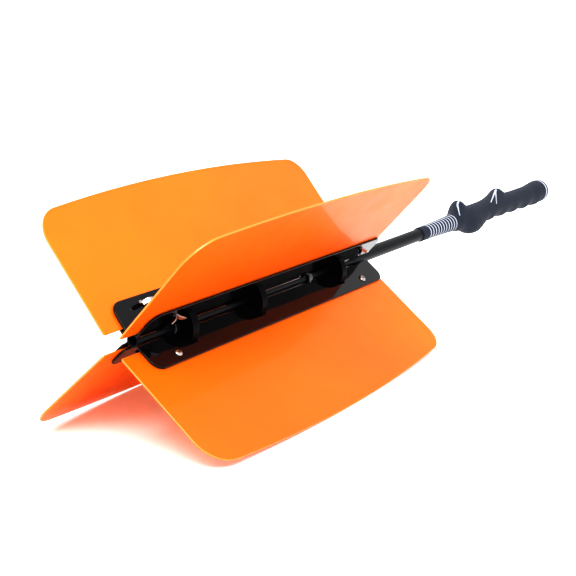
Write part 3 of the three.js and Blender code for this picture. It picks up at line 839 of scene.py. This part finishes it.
def make_grip():
    """Moulded rubber with a bore for the shaft, a groove for each ring and a bore for the cap's plug."""
    bm = bmesh.new()
    rings = []

    def level(x, drop=0.0):
        rings.append(grip_ring(bm, x, lambda angle: grip_radius(x, angle) - drop))

    def levels(start, end, step):
        x = start
        while x < end:
            level(x)
            x += step

    for offset, drop in GRIP_MOUTH:
        level(GRIP_START + offset, drop)
    levels(GRIP_START + GRIP_MOUTH_FLAT, RING_FIRST - RING_WIDTH, GRIP_MOUTH_STEP)
    half = RING_WIDTH / 2 + GROOVE_GAP
    groove = [(-half - out, drop) for out, drop in GROOVE_LIP]
    groove += [(half + out, drop) for out, drop in reversed(GROOVE_LIP)]
    for i in range(RING_COUNT):
        for offset, drop in groove:
            level(RING_FIRST + i * RING_PITCH + offset, drop)
    levels(RING_FIRST + (RING_COUNT - 1) * RING_PITCH + half + 1.0, GRIP_END - 2 * GRIP_HEEL[0][0], GRIP_STEP)
    for offset, drop in GRIP_HEEL:
        level(GRIP_END - offset, drop)
    plug = CAP_PLUG_RADIUS + GAP
    bore = SHAFT_RADIUS + GRIP_BORE_GAP
    for at, radius in (
        (GRIP_END, plug), (CAP_PLUG_START - 2, plug), (CAP_PLUG_START - 2, SHAFT_RADIUS + GAP),
        (GRIP_START + 4, bore), (GRIP_START, bore),
    ):
        rings.append(grip_ring(bm, at, lambda angle, radius=radius: radius))
    skin_rings(bm, rings)
    finish_piece("Grip_Rubber", bm, (GRIP,), ROOT, ["Grip_Body"], -GRIP_TURN, 50.0)


def make_grip_rings():
    """Paint rings with a slightly crowned face."""
    for i in range(RING_COUNT):
        centre = RING_FIRST + i * RING_PITCH
        radius = grip_side(centre)
        half = RING_WIDTH / 2
        deep = radius - RING_DEPTH + 0.02
        shoulder = radius - 0.05
        crown = half - GROOVE_GAP
        profile = [(centre - half, deep), (centre - half, shoulder)]
        for k in range(9):
            t = k / 8
            rise = RING_EDGE + (RING_PROUD - RING_EDGE) * math.sin(math.pi * t) ** 0.6
            profile.append((centre + crown * (2 * t - 1), radius + rise))
        profile += [(centre + half, shoulder), (centre + half, deep)]
        bm = bmesh.new()
        add_lathe(bm, profile)
        name = f"Grip_Ring_{i + 1:02d}"
        finish_piece(name + "_Paint", bm, (PAINT,), ROOT, [name], 0.0, 50.0)


def resample(path, step, parts=24):
    """Points at even spacing along a smooth curve through the path."""
    points = [Vector(p) for p in path]
    dense = []
    for i in range(len(points) - 1):
        before = points[max(i - 1, 0)]
        after = points[min(i + 2, len(points) - 1)]
        a, b = points[i], points[i + 1]
        for k in range(parts):
            t = k / parts
            dense.append(0.5 * (
                2 * a + (b - before) * t + (2 * before - 5 * a + 4 * b - after) * t * t
                + (3 * a - before - 3 * b + after) * t ** 3
            ))
    dense.append(points[-1])
    out = [dense[0]]
    travelled = 0.0
    for a, b in zip(dense, dense[1:]):
        travelled += (b - a).length
        if travelled >= step:
            out.append(b)
            travelled = 0.0
    out.append(dense[-1])
    return out


def make_mark(name, strokes):
    """Painted strips that follow the flank, slightly proud, with rounded ends and edges."""
    bm = bmesh.new()
    half = MARK_WIDTH / 2
    for stroke in strokes:
        spine = resample(stroke, MARK_STEP)
        start = (spine[0] - spine[1]).normalized()
        end = (spine[-1] - spine[-2]).normalized()
        caps_before = [spine[0] + start * half * math.cos(a) for a in MARK_CAP]
        caps_after = [spine[-1] + end * half * math.cos(a) for a in reversed(MARK_CAP)]
        widths = [math.sin(a) for a in MARK_CAP]
        line = caps_before + spine + caps_after
        width = widths + [1.0] * len(spine) + widths[::-1]
        rings = []
        for i, (point, wide) in enumerate(zip(line, width)):
            along = (line[min(i + 1, len(line) - 1)] - line[max(i - 1, 0)]).normalized()
            across = Vector((-along.y, along.x))
            ring = []
            for side, lift in MARK_SECTION:
                at = point + across * side * half * wide
                ring.append(bm.verts.new(flank_point(at.x, at.y, lift)))
            rings.append(ring)
        skin_rings(bm, rings, closed=False)
        bm.faces.new(rings[0][::-1])
        bm.faces.new(rings[-1])
    finish_piece(name + "_Paint", bm, (PAINT,), ROOT, [name], -GRIP_TURN, 60.0)


make_grip()
make_grip_rings()
for mark, strokes in MARKS.items():
    make_mark(mark, strokes)

ring_start = GRIP_END + GAP
ring_end = ring_start + CAP_RING_WIDTH
bm = bmesh.new()
add_tube(
    bm, ring_start - CAP_RING_OVERLAP, ring_end + CAP_RING_OVERLAP, CAP_RADIUS, CAP_PLUG_RADIUS + GAP, 0.3,
)
finish_piece("Cap_Ring_Paint", bm, (PAINT,), ROOT, ["Cap_Ring"], 0.0, 50.0, True)

cap_start = ring_end + GAP
cap_end = cap_start + CAP_LENGTH - CAP_RING_WIDTH
bm = bmesh.new()
add_lathe(bm, rounded((
    (CAP_PLUG_START, CAP_VENT, 0.2), (CAP_PLUG_START, CAP_PLUG_RADIUS, 0.6),
    (cap_start, CAP_PLUG_RADIUS, 0.2), (cap_start, CAP_RADIUS, 0.25),
    (cap_end, CAP_RADIUS, CAP_EDGE), (cap_end, CAP_VENT, 0.5),
), 0.0, 8))
finish_piece("Butt_Cap_Rubber", bm, (CAP,), ROOT, ["Butt_Cap"], 0.0, 50.0, True)


# ---------- floor, light and camera ----------
def stage_floor():
    """Pale glossy floor; its faint glow keeps the shade under the sheets light, as in the photo."""
    bm = bmesh.new()
    corners = ((-1, -1), (1, -1), (1, 1), (-1, 1))
    bm.faces.new([bm.verts.new((x * FLOOR_HALF_SIZE, y * FLOOR_HALF_SIZE, 0.0)) for x, y in corners])
    mesh = bpy.data.meshes.new("Floor")
    bm.to_mesh(mesh)
    bm.free()
    material, tree, shader = principled(
        "Pale_Gloss_Floor", (0.93, 0.93, 0.93), 0.04, Specular_IOR_Level=0.35, Emission_Strength=0.05,
    )
    shader.inputs["Emission Color"].default_value = (1.0, 1.0, 1.0, 1.0)
    tree.links.new(spread(tree, noise(tree, 3.0, 3.0), 0.03, 0.05), shader.inputs["Roughness"])
    mesh.materials.append(material)
    floor = bpy.data.objects.new("Floor", mesh)
    floor.location.z = cad_box[0][2] - FLOOR_DROP
    bpy.context.scene.collection.objects.link(floor)


def softbox(name, place, target, size, power):
    light = bpy.data.lights.new(name, "AREA")
    light.shape = "RECTANGLE"
    light.size, light.size_y = size
    light.energy = power
    lamp = bpy.data.objects.new(name, light)
    lamp.location = place
    lamp.rotation_euler = (Vector(target) - Vector(place)).to_track_quat("-Z", "Y").to_euler()
    bpy.context.scene.collection.objects.link(lamp)


def stage_light():
    world = bpy.data.worlds.new("Studio")
    bpy.context.scene.world = world
    world.use_nodes = True
    background = world.node_tree.nodes["Background"]
    background.inputs["Color"].default_value = (1.0, 1.0, 1.0, 1.0)
    background.inputs["Strength"].default_value = WORLD_STRENGTH
    for light in LIGHTS:
        softbox(*light)


def stage_camera():
    data = bpy.data.cameras.new("Camera")
    data.sensor_width = CAMERA_SENSOR
    data.lens = CAMERA_LENS
    data.clip_start = 0.01
    camera = bpy.data.objects.new("Camera", data)
    turned = Matrix((CAMERA_RIGHT, -CAMERA_DOWN, -CAMERA_AHEAD)).transposed().to_4x4()
    camera.matrix_world = Matrix.Translation(ORIGIN + Vector(CAMERA_PLACE) * MM) @ turned
    bpy.context.scene.collection.objects.link(camera)
    bpy.context.scene.camera = camera


stage_floor()
stage_light()
stage_camera()
bpy.context.scene.view_settings.view_transform = "Standard"
bpy.context.scene.view_settings.look = "High Contrast"

bpy.context.view_layer.update()
